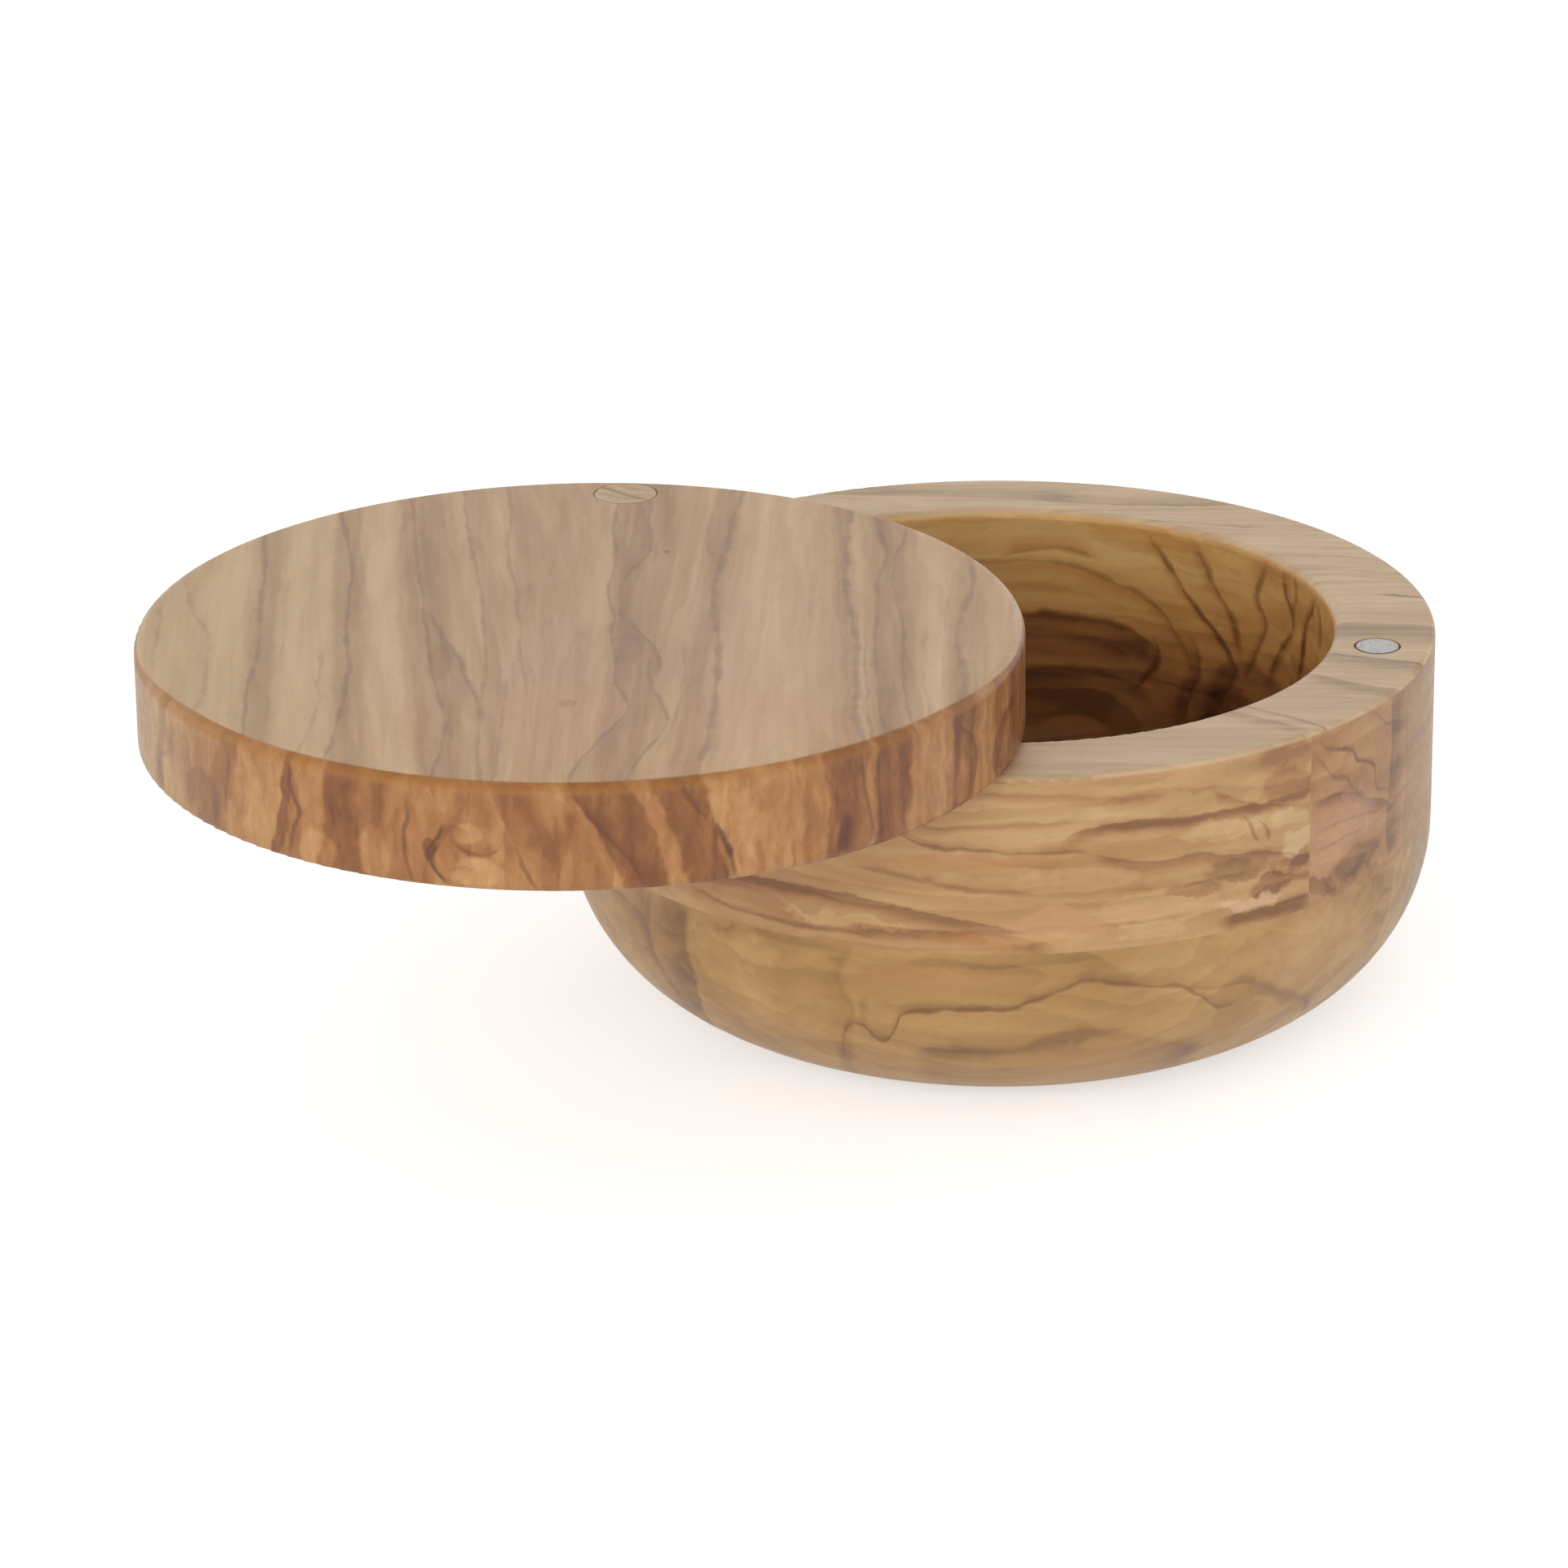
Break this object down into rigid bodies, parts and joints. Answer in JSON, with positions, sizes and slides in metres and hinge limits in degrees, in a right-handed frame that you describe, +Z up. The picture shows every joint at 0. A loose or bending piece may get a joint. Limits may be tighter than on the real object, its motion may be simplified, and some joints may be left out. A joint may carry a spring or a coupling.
{
  "type": "salt box with swivel lid",
  "caption": "Round turned wooden salt box. Its thick flat lid swivels sideways about a concealed screw in the rim and is held shut by a magnet.",
  "frame": {"origin": "centre of the flat face under the bowl, on the bowl's axis", "axes": "+Z up; -X from the bowl's axis to the pivot screw and +X to the rim magnet; at rest the lid is swung 82 degrees open, out over -Y, the front"},
  "size_m": [0.1555, 0.162, 0.064],
  "materials": {
    "wall_wood": "oiled",
    "end_wood": "oiled",
    "floor_wood": "oiled",
    "lid_wood": "oiled",
    "plug_wood": "oiled",
    "magnet_plating": "satin nickel",
    "screw_steel": "zinc plated",
    "spacer_nylon": "smooth"
  },
  "bodies": {
    "bowl": {"bowl_floor_block": "floor_wood", "bowl_wall_block": "wall_wood", "bowl_end_block": "end_wood", "rim_magnet": "magnet_plating", "pivot_screw": "screw_steel", "spacer_washer": "spacer_nylon", "head_washer": "screw_steel"},
    "lid": {"lid": "lid_wood", "lid_plug": "plug_wood", "lid_magnet": "magnet_plating"}
  },
  "joints": [
    {"name": "lid_swing", "type": "hinge", "parent": "bowl", "child": "lid", "pos_m": [-0.05, 0, 0.0505], "axis": [0, 0, 1], "continuous": true}
  ]
}
